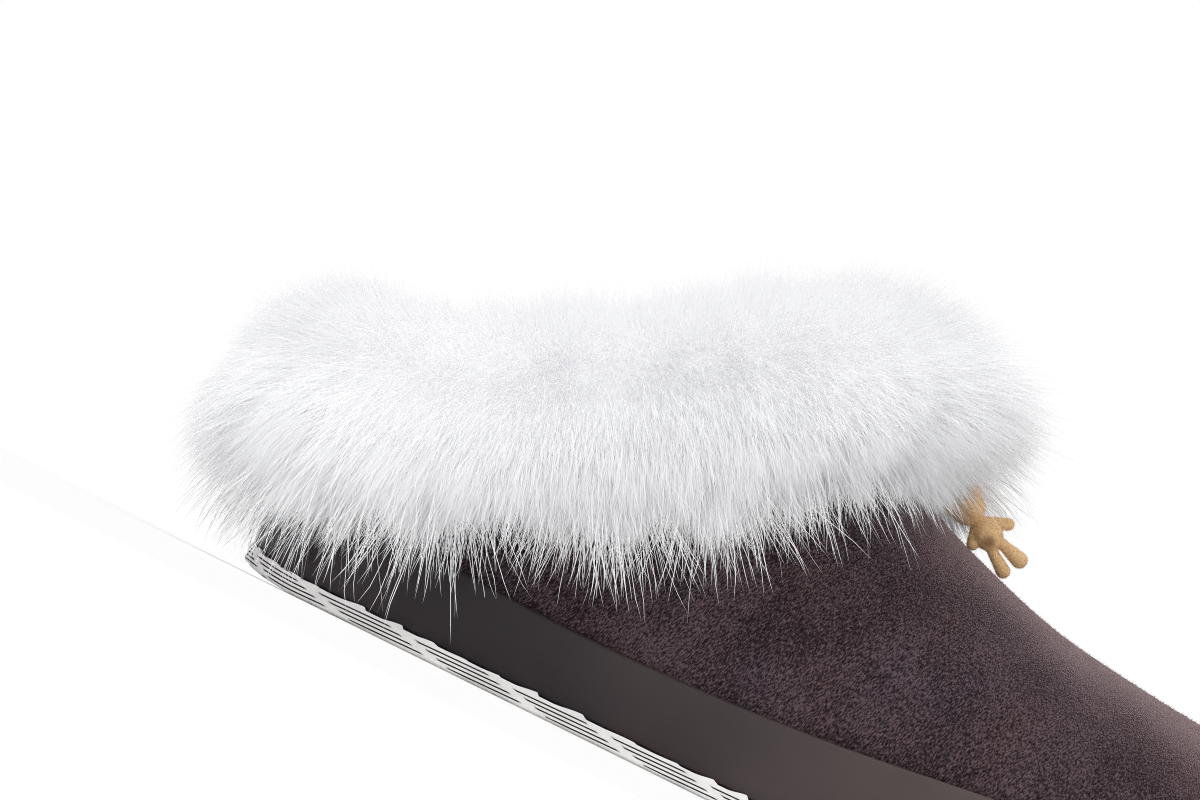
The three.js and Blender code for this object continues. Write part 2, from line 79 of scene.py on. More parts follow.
WALL_FOOT = 0.35  # height above the floor side where the wall begins
WALL_ROUND = 0.15  # rounding of the wall's top edge
WALL_PROUD = 0.5  # how far the side wall stands out past the cup
WALL_BACK = 0.1
SCUFF_SIZE = 9
RUBBER_GRAIN = 0.5
PALE_RUBBER = (0.86, 0.85, 0.84, 1)
SCUFFED_RUBBER = (0.76, 0.75, 0.74, 1)
LINE_SHADE = (0.030, 0.022, 0.025, 1)


def smooth_through(places, values, at):
    """A smooth curve through given values: a cubic between each two places, whose slope at a place
    is that of the parabola through it and its two neighbours."""
    slopes = np.gradient(values, places)
    at = np.clip(at, places[0], places[-1])
    k = np.clip(np.searchsorted(places, at) - 1, 0, len(places) - 2)
    span = places[k + 1] - places[k]
    t = (at - places[k]) / span
    start = (1 + 2 * t) * (1 - t) ** 2 * values[k] + t * (1 - t) ** 2 * span * slopes[k]
    end = t * t * (3 - 2 * t) * values[k + 1] + t * t * (t - 1) * span * slopes[k + 1]
    return start + end


def soft_step(low, high, at):
    """Rises smoothly from 0 at low to 1 at high: three squares less two cubes of the share covered."""
    t = np.clip((at - low) / (high - low), 0, 1)
    return t * t * (3 - 2 * t)


def sole_outline(count):
    """Points in equal steps round the sole, from the heel along the outer side to the toe and back.
    The curve through the table's points is paced by the square root of the distance between them."""
    outer = np.column_stack([OUTLINE[:, 0], -OUTLINE[:, 1]])
    inner = np.column_stack([OUTLINE[::-1, 0], OUTLINE[::-1, 2]])
    ring = np.vstack([[(0, 0)], outer, [(SOLE_LENGTH, TOE_SIDE)], inner])
    lap = 3
    ring = np.vstack([ring[-lap:], ring, ring[:lap + 1]])
    pace = np.append(0, np.cumsum(np.sqrt(np.linalg.norm(np.diff(ring, axis=0), axis=1))))
    fine = np.linspace(pace[lap], pace[-lap - 1], FINE_STEPS * count)
    x = smooth_through(pace, ring[:, 0], fine)
    y = smooth_through(pace, ring[:, 1], fine)
    way = np.append(0, np.cumsum(np.hypot(np.diff(x), np.diff(y))))
    even = np.linspace(0, way[-1], count, endpoint=False)
    return np.column_stack([np.interp(even, way, x), np.interp(even, way, y)]), way[-1]


outline, _ = sole_outline(AROUND)
cup_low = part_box("midsole")[0]
HEEL = np.array([cup_low.x / MM - outline[:, 0].min(), cup_low.y / MM - outline[:, 1].min(), 0])


def outline_row(distance, height, ring=outline):
    """A closed row of points: the outline moved inwards by a distance along its normal, the left of
    the way round, at a height that depends on the point's x."""
    along = np.roll(ring, -1, axis=0) - np.roll(ring, 1, axis=0)
    along /= np.linalg.norm(along, axis=1, keepdims=True)
    flat = ring + np.reshape(distance, (-1, 1)) * np.column_stack([-along[:, 1], along[:, 0]])
    return np.column_stack([flat, np.broadcast_to(height(flat[:, 0]), len(flat))])


def tread_height(x):
    """The tread's floor side: flat, with a square-law bevel at the heel and spring at the toe."""
    heel = np.clip((HEEL_BEVEL_LENGTH - x) / HEEL_BEVEL_LENGTH, 0, None)
    toe = np.clip((x - TOE_SPRING_START) / (SOLE_LENGTH - TOE_SPRING_START), 0, None)
    return HEEL_BEVEL * heel**2 + TOE_SPRING * toe**2


def grid_faces(rows, columns, ring, first):
    """The corners of a grid's four-sided faces. Points are numbered row by row from first, and on a
    ring the last column joins the first."""
    row = np.arange(rows - 1)[:, None] * columns
    column = np.arange(columns if ring else columns - 1)[None, :]
    after = (column + 1) % columns
    corners = (row + column, row + after, row + columns + after, row + columns + column)
    return first + np.stack(corners, axis=-1).reshape(-1, 4)


def seat_piece(name, mesh, materials):
    """A mesh as a piece of the shoe's one body, with its materials."""
    for material in materials:
        mesh.materials.append(material)
    piece = bpy.data.objects.new(name, mesh)
    bpy.context.scene.collection.objects.link(piece)
    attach(piece, "root")
    return piece


def make_piece(name, grids, materials, sharp=40, marks=()):
    """A closed skin from grids of points, given with whether each is a ring: welded where they meet,
    facing outwards, and shaded smooth but for edges sharper than an angle. Marks are named values
    of its points."""
    points = np.concatenate([grid.reshape(-1, 3) for grid, _ in grids])
    firsts = np.cumsum([0] + [grid[..., 0].size for grid, _ in grids])
    faces = [grid_faces(*grid.shape[:2], ring, first) for (grid, ring), first in zip(grids, firsts)]
    mesh = bpy.data.meshes.new(name)
    mesh.from_pydata(((points + HEEL) * MM).tolist(), [], np.concatenate(faces).tolist())
    for mark, values in marks:
        mesh.attributes.new(mark, "FLOAT", "POINT").data.foreach_set("value", values.ravel())
    skin = bmesh.new()
    skin.from_mesh(mesh)
    bmesh.ops.remove_doubles(skin, verts=skin.verts, dist=WELD)
    bmesh.ops.recalc_face_normals(skin, faces=skin.faces)
    skin.to_mesh(mesh)
    skin.free()
    mesh.shade_smooth()
    mesh.set_sharp_from_angle(angle=math.radians(sharp))
    return seat_piece(name, mesh, materials)


def new_finish(name, **sockets):
    """A material with one shader, whose even values are set on its own sockets."""
    material = bpy.data.materials.new(name)
    material.use_nodes = True
    shader = material.node_tree.nodes["Principled BSDF"]
    for socket, value in sockets.items():
        shader.inputs[socket.replace("_", " ")].default_value = value
    return material, shader


def add_node(material, kind, links=(), **values):
    """A node of a kind, with its own settings or socket values and links into its sockets."""
    made = material.node_tree.nodes.new("ShaderNode" + kind)
    for name, value in values.items():
        if name[0].islower():
            setattr(made, name, value)
        else:
            made.inputs[name].default_value = value
    for socket, source in links:
        material.node_tree.links.new(source, made.inputs[socket])
    return made


def mottle(material, size, detail=2.0, stretch=(1, 1, 1), turn=(0, 0, 0)):
    """Noise with features of a size in millimetres on the piece's own coordinates, stretched and turned."""
    place = add_node(material, "TexCoord").outputs["Object"]
    spread = add_node(
        material, "Mapping", [("Vector", place)], vector_type="TEXTURE", Rotation=turn,
        Scale=[size * MM * s for s in stretch])
    noise = add_node(material, "TexNoise", [("Vector", spread.outputs[0])], Scale=1.0, Detail=detail)
    return noise.outputs["Fac"]


def shade_between(material, share, *stops):
    """Colours blended by a share between 0 and 1, each given with its place."""
    ramp = add_node(material, "ValToRGB", [("Fac", share)])
    elements = ramp.color_ramp.elements
    while len(elements) < len(stops):
        elements.new(0.5)
    for element, (place, colour) in zip(elements, stops):
        element.position = place
        element.color = colour
    return ramp.outputs["Color"]


def wire(material, source, shader, socket):
    """A link from a node's output to one of the shader's sockets."""
    material.node_tree.links.new(source, shader.inputs[socket])


def emboss(material, shader, height, strength, depth):
    """Relief from a height, as deep as a size in millimetres."""
    bump = add_node(material, "Bump", [("Height", height)], Strength=strength, Distance=depth * MM)
    wire(material, bump.outputs["Normal"], shader, "Normal")


def rubber_finish(name):
    """Matt rubber with a fine grain, and its tone: pale, with scuffed patches."""
    material, shader = new_finish(name, Roughness=0.7, Specular_IOR_Level=0.3)
    scuffs = mottle(material, SCUFF_SIZE, detail=6)
    tone = shade_between(material, scuffs, (0.35, SCUFFED_RUBBER), (0.6, PALE_RUBBER))
    emboss(material, shader, mottle(material, RUBBER_GRAIN), 0.25, 0.1)
    return material, shader, tone


rubber, rubber_shader, rubber_tone = rubber_finish("tread rubber")
wire(rubber, rubber_tone, rubber_shader, "Base Color")
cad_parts["outsole"].data.materials.clear()
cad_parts["outsole"].data.materials.append(rubber)

# The lined rubber is coloured almost black by how deep in a line each point lies: painted shade in the
# grooves.
lined, lined_shader, lined_tone = rubber_finish("lined rubber")
in_line = add_node(lined, "Attribute", attribute_name="line").outputs["Fac"]
groove_shade_mix = add_node(lined, "MixRGB", [("Fac", in_line), ("Color1", lined_tone)], Color2=LINE_SHADE)
wire(lined, groove_shade_mix.outputs["Color"], lined_shader, "Base Color")


def tread_wall():
    """The side wall's closed section carried round the outline, with how deep in a line each point
    lies. The lines slant a little within each group and lie one behind another, and the top rises
    slowly and falls sharply at each tab."""
    ring, length = sole_outline(WALL_AROUND)
    way = np.arange(WALL_AROUND) / WALL_AROUND * length
    tab = (way / TAB_STEP + TAB_SWAY * np.sin(2 * math.pi * way / TAB_SWAY_WAVE)) % 1
    uneven = 0.6 + 0.4 * np.sin(2 * math.pi * way / TAB_RISE_WAVE)
    lap = TAB_RISE * uneven * soft_step(0.3, 0.94, tab) * soft_step(1, 0.95, tab)
    top = TREAD_THICKNESS - WALL_ROUND + lap
    # Up the wall: height, distance in from the outline, share of a line's depth, which also sets the
    # painted shade in its groove
    section = [(WALL_FOOT, 0.3, 0), (0.55, 0.1 - WALL_PROUD, 0), (0.65, -WALL_PROUD, 0)]
    for order, height in enumerate(LINE_HEIGHTS):
        in_group = ((way + order * LINE_STAGGER) / LINE_GROUP) % 1
        deep = soft_step(0, LINE_END, in_group) * soft_step(LINE_SHARE, LINE_SHARE - LINE_END, in_group)
        middle = height + LINE_SLANT * (in_group - 0.5) * deep
        for rise, inside in zip((-0.5, -0.35, 0.35, 0.5), (0, 1, 1, 0)):
            depth = inside * LINE_DEPTH * deep
            section.append((middle + rise * LINE_WIDTH, depth - WALL_PROUD, inside * deep))
    section += [(top, -WALL_PROUD, 0), (top + WALL_ROUND, 0.12 - WALL_PROUD, 0)]
    section += [(top + WALL_ROUND, -WALL_BACK, 0), (WALL_FOOT, -WALL_BACK, 0), section[0]]
    rows = [outline_row(inset, lambda x: tread_height(x) + rise, ring) for rise, inset, _ in section]
    return np.array(rows), np.array([np.broadcast_to(share, WALL_AROUND) for *_, share in section])


wall_rows, wall_lines = tread_wall()
make_piece("tread_edge", [(wall_rows, True)], [lined], marks=[("line", wall_lines)])


# Cup: a platform of light foam wrapped in a smooth dark skin, moulded with a raised rim. The upper's
# lower edge stands in its pocket, and the tread is glued below.
PIECE_GAP = 0.3
RIM_COVER = 7  # how far the rim stands up over the upper's lower edge
CUP_EDGE = 0.9
CUP_BOW = 0.35  # how far the wall bulges at half its height
CUP_ROWS = 9
CUP_STRIPS = 7
RIM_ROUND = 1.1
POCKET_INSET = 2.45
# Height of the rim: lowest under the arch, higher at the heel and over the toe
RIM = np.array([
    (0, 24.5), (30, 22), (62, 20.2), (98, 20.4), (130, 22.5), (167, 27), (210, 32.5), (258, 37.5),
])
DARK_SKIN = (0.0175, 0.0124, 0.0150, 1)
# The paler skin colour serves both the real worn patches and the painted light towards the toe.
WORN_AND_LIT_SKIN = (0.080, 0.0575, 0.0565, 1)
TOE_LIGHT_START = -45  # millimetres from the middle of the shoe, where the skin begins to grow lighter to the toe as painted light
TOE_LIGHT_END = 90
SKIN_CLOUDS = 24  # sizes of the patches that are worn, of those that shine, and of the grain
SKIN_SMEARS = 6
SKIN_GRAIN = 0.35
WEAR = 0.5


def rim_height(x):
    """The rim's top, on a smooth curve through its table."""
    return smooth_through(RIM[:, 0], RIM[:, 1], x)


def feather_height(x):
    """Where the upper's lower edge stands, below the rim by the rim's cover."""
    return rim_height(x) - RIM_COVER


def cup_base(x):
    """The cup's underside, a gap above the tread."""
    return tread_height(x) + TREAD_THICKNESS + PIECE_GAP


def across(row, columns, crown=0.0):
    """A closed row filled by straight strips from its outer side to its inner side. A crown lifts each
    strip as half a sine wave, fading at the heel and the toe."""
    half = AROUND // 2 + 1
    outer = row[:half, None]
    inner = row[-np.arange(half) % AROUND][:, None]
    share = np.linspace(0, 1, columns)[None, :, None]
    strips = outer + (inner - outer) * share
    fade = np.sin(np.linspace(0, math.pi, half))[:, None] ** 0.5
    strips[..., 2] += crown * fade * np.sin(math.pi * share[..., 0])
    return strips


def cup_rows():
    """Rows from the cup's lower edge up its wall, over the rounded rim and down into the pocket."""
    low = [(CUP_EDGE, 0), (0.3 * CUP_EDGE, 0.3 * CUP_EDGE)]
    rows = [outline_row(inset, lambda x: cup_base(x) + rise) for inset, rise in low]
    for share in np.linspace(0, 1, CUP_ROWS):
        bow = -CUP_BOW * math.sin(math.pi * share)
        rows.append(outline_row(bow, lambda x: (
            (1 - share) * (cup_base(x) + CUP_EDGE) + share * (rim_height(x) - RIM_ROUND))))
    rim = [(0.12, -0.5), (0.42, -0.12), (0.9, 0), (1.6, -0.06), (2.1, -0.4), (POCKET_INSET, -RIM_ROUND)]
    rows += [outline_row(inset, lambda x: rim_height(x) + rise) for inset, rise in rim]
    rows.append(outline_row(POCKET_INSET, lambda x: feather_height(x) - PIECE_GAP))
    return np.array(rows)


def add_share(material, pattern, share, other):
    """A share of a pattern added to another value."""
    total = add_node(material, "Math", [(0, pattern), (2, other)], operation="MULTIPLY_ADD")
    total.inputs[1].default_value = share
    return total.outputs[0]


skin, skin_shader = new_finish("cup skin", Specular_IOR_Level=0.25)
skin_place = add_node(skin, "TexCoord").outputs["Object"]
skin_x = add_node(skin, "SeparateXYZ", [("Vector", skin_place)]).outputs["X"]
# Painted light: the skin's colour grows lighter from the middle of the shoe to the toe, as though more
# light fell on the forefoot. Real worn patches are mixed in.
fade = add_node(
    skin, "MapRange", [("Value", skin_x)], **{"From Min": TOE_LIGHT_START * MM, "From Max": TOE_LIGHT_END * MM})
wear_and_toe_light = add_share(skin, mottle(skin, SKIN_CLOUDS, detail=3), WEAR, fade.outputs[0])
wire(skin, shade_between(skin, wear_and_toe_light, (0.2, DARK_SKIN), (1.0, WORN_AND_LIT_SKIN)), skin_shader, "Base Color")
skin_gloss = add_node(
    skin, "MapRange", [("Value", mottle(skin, SKIN_SMEARS, detail=4))], **{"To Min": 0.42, "To Max": 0.56})
wire(skin, skin_gloss.outputs[0], skin_shader, "Roughness")
emboss(skin, skin_shader, mottle(skin, SKIN_GRAIN), 0.12, 0.05)

cup_wall = cup_rows()
cup = make_piece("cup", [
    (across(cup_wall[0], CUP_STRIPS), False), (cup_wall, True), (across(cup_wall[-1], CUP_STRIPS), False),
], [skin])
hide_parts("midsole")


# Footbed: a foam pad covered in cream plush, laid loose on the cup's floor inside the upper. It is
# slightly crowned and rolls over softly at its edge.
INSOLE_THICKNESS = 4
FOOTBED_INSET = 5.6
FOOTBED_CROWN = 0.7
UNDER_STRIPS = 9
TOP_STRIPS = 25
PLUSH_TUFT = 1.1
PLUSH_DEPTH = 0.9
CREAM = (0.76, 0.70, 0.61, 1)
CREAM_SHADE = (0.52, 0.46, 0.38, 1)


def plush_finish(name, pale, dark):
    """Short curled pile: tufts about a millimetre wide, with painted shade between them, and a soft sheen.
    """
    plush, shader = new_finish(name, Roughness=0.95, Sheen_Weight=0.4, Specular_IOR_Level=0.15)
    tufts = mottle(plush, PLUSH_TUFT, detail=3)
    wire(plush, shade_between(plush, tufts, (0.32, dark), (0.58, pale)), shader, "Base Color")
    emboss(plush, shader, tufts, 0.9, PLUSH_DEPTH)
    return plush


def footbed_rows():
    """Rows from the pad's underside round its soft edge to its top."""
    edge = [(0.5, 0.1), (0, 0.6), (-0.1, 1.6), (0.1, 2.6), (0.6, 3.4), (1.5, INSOLE_THICKNESS)]
    rows = [
        outline_row(FOOTBED_INSET + inset, lambda x: feather_height(x) + rise) for inset, rise in edge]
    return np.array(rows)


plush = plush_finish("cream plush", CREAM, CREAM_SHADE)
pad_edge = footbed_rows()
pad = make_piece("footbed", [
    (across(pad_edge[0], UNDER_STRIPS), False), (pad_edge, True),
    (across(pad_edge[-1], TOP_STRIPS, FOOTBED_CROWN), False),
], [plush], sharp=80)
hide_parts("insole")


# Upper: dark suede with a plush lining, drawn over a round-toed last and cut low at the back. Its
# lower edge is cemented into the cup's pocket, and its top edge is folded under the fur.
FEATHER_INSET = 2.8  # from the cup's outer face to the upper's lower edge
UPPER_WALL = 2.2
UPPER_SWELL = 2  # how far the suede swells out above the rim
RIDGE_BACK = 24  # where the last's ridge begins, behind the collar
RIDGE_FRONT = 219  # where the ridge runs out over the toes
RISE = 48  # steps from the upper's lower edge to its top
CUT_STEPS = 800  # steps in which each line of the last is searched for the top line
# The last's ridge: distance from the heel, height, lean to the inner side, squareness of its section
RIDGE = np.array([
    (24, 128, 0, 3), (60, 126, 0.5, 2.8), (92, 107, 1, 2.4), (116, 91, 1.5, 2.1), (132, 82, 2, 2.05),
    (148, 75.4, 2.5, 2.05), (164, 70, 3, 2.1), (184, 66.6, 4, 2.2), (204, 64.8, 5, 2.25),
    (219, 64.2, 6, 2.3),
])
# The collar's top line seen from the side: distance from the heel, height
TOP_LINE = np.array([
    (-30, 40), (4, 43), (22, 47.5), (42, 55), (64, 66), (88, 79), (116, 91), (150, 104),
])
DEEP_NAP = (0.0113, 0.0073, 0.0094, 1)
SUEDE = (0.0395, 0.0268, 0.0324, 1)
PALE_NAP = (0.11, 0.077, 0.087, 1)
# The fibres' pale colour gives the nap its flecks, and is also a painted sheen where they crowd along the
# suede's edges.
PALE_FIBRE_AND_SHEEN = (0.44, 0.31, 0.32, 1)
FIBRE_SHADE = (0.12, 0.085, 0.092, 1)
NAP_LEAN = math.radians(19)  # the nap is brushed upwards, leaning to the toe
COOL_SUEDE = (0.96, 0.99, 1.04, 1)
WARM_SUEDE = (1.05, 0.98, 0.95, 1)
NAP_SIZE = 0.3
NAP_STRETCH = 2.6
NAP_DEPTH = 0.35
SUEDE_CLOUDS = 17  # sizes of the patches that are paler and of those that are warmer
TINT_CLOUDS = 26
CLOUDINESS = 0.32
NAP_FIBRES = 60_000
NAP_LENGTH = 0.6
NAP_WIDTH = 0.08
NAP_TILT = 0.4
NAP_TO_TOE = (0.3, 0, 0)
NAP_ROOT = 0.1  # how deep a fibre is rooted
rng = np.random.default_rng(12)


def last_points(share):
    """Points of the last. Along each line from the lower edge to the ridge, the reach out from the
    ridge and the climb to it are powers of the cosine and sine of a share of a quarter turn, so that
    the section is a squared oval, and the side swells as the square of the sine of twice that turn."""
    foot = outline_row(FEATHER_INSET, feather_height)
    partner = foot[-np.arange(AROUND) % AROUND]
    ridge_share = (foot[:, 0] + partner[:, 0]) / 2 / SOLE_LENGTH
    ridge_x = RIDGE_BACK + (RIDGE_FRONT - RIDGE_BACK) * ridge_share
    height, lean, square = (smooth_through(RIDGE[:, 0], RIDGE[:, k], ridge_x) for k in (1, 2, 3))
    ridge = np.column_stack([ridge_x, lean])
    span = foot[:, :2] - ridge
    outward = span / np.linalg.norm(span, axis=1, keepdims=True)
    turn = share * math.pi / 2
    reach = np.clip(np.cos(turn), 0, 1) ** (2 / square)
    climb = np.sin(turn) ** (2 / square)
    swell = UPPER_SWELL * np.sin(2 * turn) ** 2 * reach
    flat = ridge + reach[..., None] * span + swell[..., None] * outward
    return np.dstack([flat, foot[:, 2] + climb * (height - foot[:, 2])])


def collar_share():
    """How far up each line of the last the top line cuts it, or 1 where the line ends at the ridge."""
    shares = np.linspace(0, 1, CUT_STEPS)
    points = last_points(np.repeat(shares[:, None], AROUND, axis=1))
    above = points[..., 2] - smooth_through(TOP_LINE[:, 0], TOP_LINE[:, 1], points[..., 0])
    after = np.argmax(above > 0, axis=0)
    cut = after > 0
    line = np.arange(AROUND)
    low = above[after - 1, line]
    part = low / (low - above[after, line])
    return np.where(cut, shares[after - 1] + part * shares[1], 1.0), cut


suede, suede_shader = new_finish(
    "suede", Roughness=0.95, Sheen_Weight=0.8, Sheen_Roughness=0.4, Sheen_Tint=(0.95, 0.70, 0.70, 1),
    Specular_IOR_Level=0.06)
nap = mottle(suede, NAP_SIZE, detail=1, stretch=(1, 1, NAP_STRETCH), turn=(0, NAP_LEAN, 0))
clouded = add_share(suede, mottle(suede, SUEDE_CLOUDS, detail=6), CLOUDINESS, nap)
suede_tone = shade_between(suede, clouded, (0.50, DEEP_NAP), (0.65, SUEDE), (0.82, PALE_NAP))
warmth = mottle(suede, TINT_CLOUDS, detail=3)
suede_tint = shade_between(suede, warmth, (0.35, COOL_SUEDE), (0.65, WARM_SUEDE))
suede_mix = add_node(
    suede, "MixRGB", [("Color1", suede_tone), ("Color2", suede_tint)], blend_type="MULTIPLY", Fac=1.0)
wire(suede, suede_mix.outputs["Color"], suede_shader, "Base Color")
emboss(suede, suede_shader, nap, 1.0, NAP_DEPTH)

wall_share, is_cut = collar_share()
wall = last_points(np.linspace(0, 1, RISE + 1)[:, None] * wall_share)
upper = make_piece("suede_upper", [(wall, True)], [suede, plush], sharp=80)
thickness = upper.modifiers.new("wall", "SOLIDIFY")
thickness.thickness = UPPER_WALL * MM
thickness.offset = -1
thickness.material_offset = 1
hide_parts("upper")


def unit(vectors):
    """Each vector divided by its own length."""
    return vectors / np.linalg.norm(vectors, axis=-1, keepdims=True)


def surface_out(points):
    """The way out of a ring grid: the cross of its steps along a row and up the rows."""
    along = np.roll(points, -1, axis=1) - np.roll(points, 1, axis=1)
    return unit(np.cross(along, np.gradient(points, axis=0)))


def ribbon_piece(name, left, right, tip, materials, kinds):
    """Narrow ribbons as one mesh: pairs of edge points from root to tip, then a point, with the kind
    of material that each ribbon takes."""
    count, levels = left.shape[:2]
    each = 2 * levels + 1
    pairs = np.stack([left, right], axis=2).reshape(count, 2 * levels, 3)
    points = np.concatenate([pairs, tip[:, None]], axis=1).reshape(-1, 3)
    step = 2 * np.arange(levels - 1)[:, None]
    quads = (step + np.array([0, 1, 3, 2])).ravel()
    corners = np.append(quads, [each - 3, each - 2, each - 1])
    loops = (np.arange(count)[:, None] * each + corners).ravel()
    sizes = np.append(np.full(levels - 1, 4), 3)
    mesh = bpy.data.meshes.new(name)
    mesh.vertices.add(len(points))
    mesh.vertices.foreach_set("co", ((points + HEEL) * MM).astype(np.float32).ravel())
    mesh.loops.add(len(loops))
    mesh.loops.foreach_set("vertex_index", loops.astype(np.int32))
    mesh.polygons.add(count * levels)
    starts = np.append(0, np.cumsum(sizes)[:-1])
    starts = (np.arange(count)[:, None] * len(corners) + starts).ravel()
    mesh.polygons.foreach_set("loop_start", starts.astype(np.int32))
    mesh.polygons.foreach_set("material_index", np.repeat(kinds, levels).astype(np.int32))
    mesh.update(calc_edges=True)
    mesh.shade_smooth()
    return seat_piece(name, mesh, materials)


# The nap fibres are much paler than the suede: pale flecks on its face, and a painted sheen along its edges
# where they are seen side-on.
fuzz, fuzz_shader = new_finish("suede nap", Roughness=0.95, Specular_IOR_Level=0.06)
fuzz_tone = shade_between(fuzz, mottle(fuzz, 1.5, detail=2), (0.35, FIBRE_SHADE), (0.65, PALE_FIBRE_AND_SHEEN))
wire(fuzz, fuzz_tone, fuzz_shader, "Base Color")


def nap_fibres():
    """Short fibres standing out of the suede: roots spread evenly over the outer face, each in a cell
    drawn by its area, and each fibre along the way out there with some tilt and a lean to the toe."""
    side = wall[1:, :] - wall[:-1, :]
    step = np.roll(wall, -1, axis=1) - wall
    area = np.linalg.norm(np.cross(side, step[:-1]), axis=-1).ravel()
    cell = rng.choice(area.size, NAP_FIBRES, p=area / area.sum())
    row, column = np.divmod(cell, AROUND)
    up, on = rng.random((2, NAP_FIBRES, 1))
    root = wall[row, column] + up * side[row, column] + on * step[row, column]
    out = surface_out(wall)[row, column]
    way = unit(out + rng.normal(0, NAP_TILT, (NAP_FIBRES, 3)) + NAP_TO_TOE)
    half = unit(np.cross(way, rng.normal(0, 1, (NAP_FIBRES, 3)))) * NAP_WIDTH / 2
    tip = root + way * NAP_LENGTH * rng.uniform(0.5, 1.2, (NAP_FIBRES, 1))
    root = (root - NAP_ROOT * out)[:, None]
    return ribbon_piece(
        "suede_nap", root - half[:, None], root + half[:, None], tip, [fuzz], np.zeros(NAP_FIBRES))


nap_fibres()


# Fur collar: long white pile on a strip of pelt that is sewn over the collar's edge. The pile hangs
# down outside, stands up above the edge and lies short inside. Its locks part in points at the hem.
COLLAR_STEPS = 720
EDGE_EVENED = 8  # steps to each side over which the collar's edge, and the way out of it, are evened
OUT_EVENED = 14
PELT_DROP_INSIDE = 8
PELT_OUT = 2.0
PELT_SINK = 0.5
PELT_WIDTH = 40  # about, from its lower edge outside over the collar's edge to its edge inside
PELT_GRID = (22, 240)
ROLL = 3.2
ROLL_START = 0.55  # places round the section where the pelt begins and ends to roll over the edge
ROLL_END = 0.8
# Stretches of the collar: name, start and end as turns round it, number of hairs
STRETCHES = (
    ("heel", -0.11, 0.11, 60_000), ("outer", 0.11, 0.4, 54_000),
    ("throat", 0.4, 0.6, 55_000), ("inner", 0.6, 0.89, 45_000),
)
STRAYS = 14_000
STRAND_START = 0.4  # share of a hair's length that is buried in the pelt's mass
MASS_AT_HEM = 0.5  # share of a hair's length that the mass fills, at the hem and at the top
MASS_AT_TOP = 0.72
MASS_MOST = 28
HAIR_WIDTH = 0.14
STRAY_WIDTH = 0.17
HAIR_TAPER = 0.8
WIDER_AT_TOP = 1.15  # a hair's width at the top, and how much less it is at the hem
FINER_AT_HEM = 0.3
# How the hairs are spread round the section: most grow on the roll over the edge, which fans them out
HAIR_SHARES = (0, 0.34, 0.91, 1)
HAIR_PLACES = (0, 0.5, 0.84, 1)
STRAY_PLACES = (0, 0.22, 0.64, 1)
BEND = math.radians(60)  # how far a hair that stands straight out is bent by its weight
LEAST_BEND = 0.01
BRUSH_LEAN = 0.3
BRUSH_AT = 0.14  # turn round the collar
BRUSH_REACH = 0.1
DROOP = np.array([0.026, 0, -0.054])  # how far a tip sinks, as a share of the hair's length
FLOOR_ROOM = 1.5  # no hair hangs lower than this above the floor
# Round the pelt's section, from its lower edge outside over the collar's edge to its edge inside:
# place, the hair's angle from hanging through standing out to upright, and its length at the heel,
# on the sides and at the throat
PILE = np.array([
    (0, 9, 20, 17, 21), (0.15, 20, 22, 18.5, 25), (0.3, 36, 25.5, 22, 30), (0.45, 62, 33.5, 28.5, 38),
    (0.56, 90, 34, 32, 42), (0.63, 112, 28.5, 32, 39), (0.68, 128, 31.5, 31.5, 38.5),
    (0.74, 150, 31.5, 31.5, 38.5), (0.82, 173, 28, 31.5, 38), (0.92, 215, 14, 14, 12), (1, 255, 6, 6, 6),
])
PILE_PLACES = np.array([0, 0.5, 1])
PELT_DROPS = np.array([8, 9, 3])  # how far the pelt reaches down outside at those places
# The toy parts the pile in front of it: turns round the collar over which this comes and goes
PARTING_START = (0.30, 0.41)
PARTING_END = (0.53, 0.5)
PARTED_LENGTH = 0.7
# Long and short stretches of the hem: turn round the collar, half its width, change of the length
HEM_WAVES = (
    (0, 0.04, -0.15), (0.088, 0.018, 0.24), (0.125, 0.02, -0.06), (0.15, 0.015, 0.18),
    (0.192, 0.035, -0.26), (0.25, 0.025, 0.14), (0.287, 0.012, -0.3), (0.325, 0.016, 0.16),
    (0.357, 0.014, -0.26), (0.374, 0.008, 0.18), (0.48, 0.02, 0.14),
)
# Places round the section between which the toy's parting, the hem's waves and its locks come in
PARTED_FROM = (0.6, 0.45)
WAVES_FROM = (0.5, 0.3)
HEM_FROM = (0.6, 0.25)
# A lock: its width along the collar and its height round the section, then the spread of its middle, of
# its hairs' angle and lean in radians, and of their length
BIG_LOCK = (6, 9, (1, 0.07, 0.09, 0.12))
SMALL_LOCK = (2.2, 3, (1, 0.045, 0.055, 0.07))
LOCK_KINDS = 8192  # different locks that are drawn
LOCK_DRAW = 0.36  # share of the way to its lock's middle that a tip is drawn
LOCKS_AT_TOP = 0.25  # how much the locks show at the top, against the hem
LOOSENESS = 0.8  # share of its lock's turns that a loose hair goes without
OWN_TURN = 0.05  # radians by which a hair turns by itself, and more if it is loose, and most at the hem
LOOSE_TURN = 0.05
LOOSE_TURN_AT_HEM = 0.33
LIFT = 0.6  # how much of that turn lifts a hair
LENGTH_SPREAD = 0.03
SHORTER = 0.07  # how much shorter a hair may be, and how much more so at the hem
SHORTER_AT_HEM = 0.25
LOOSE_SHORTER = 0.1
LOOSE_LONGER = 0.6  # how much longer a loose hair may be at the hem, and at the throat
LOOSE_LONGER_AT_THROAT = 0.3
THROAT_REACH = (0.03, 0.1)  # turns from the throat's middle between which that changes
LONG_ENOUGH = (45, 25)  # hairs of these lengths grow none of that and all of it
FRIZZ = 0.02  # shares of a hair's length
LOOSE_SMOOTH = 0.7  # how much less a loose hair is frizzed
CURL = 0.04
LOOSE_CURL = 0.06
TWIST = 0.5
LOCK_TONE = 3  # size of the greyer patches
WHITES = ((0.985, 0.985, 0.99, 1), (0.98, 0.981, 0.988, 1), (0.968, 0.969, 0.98, 1))
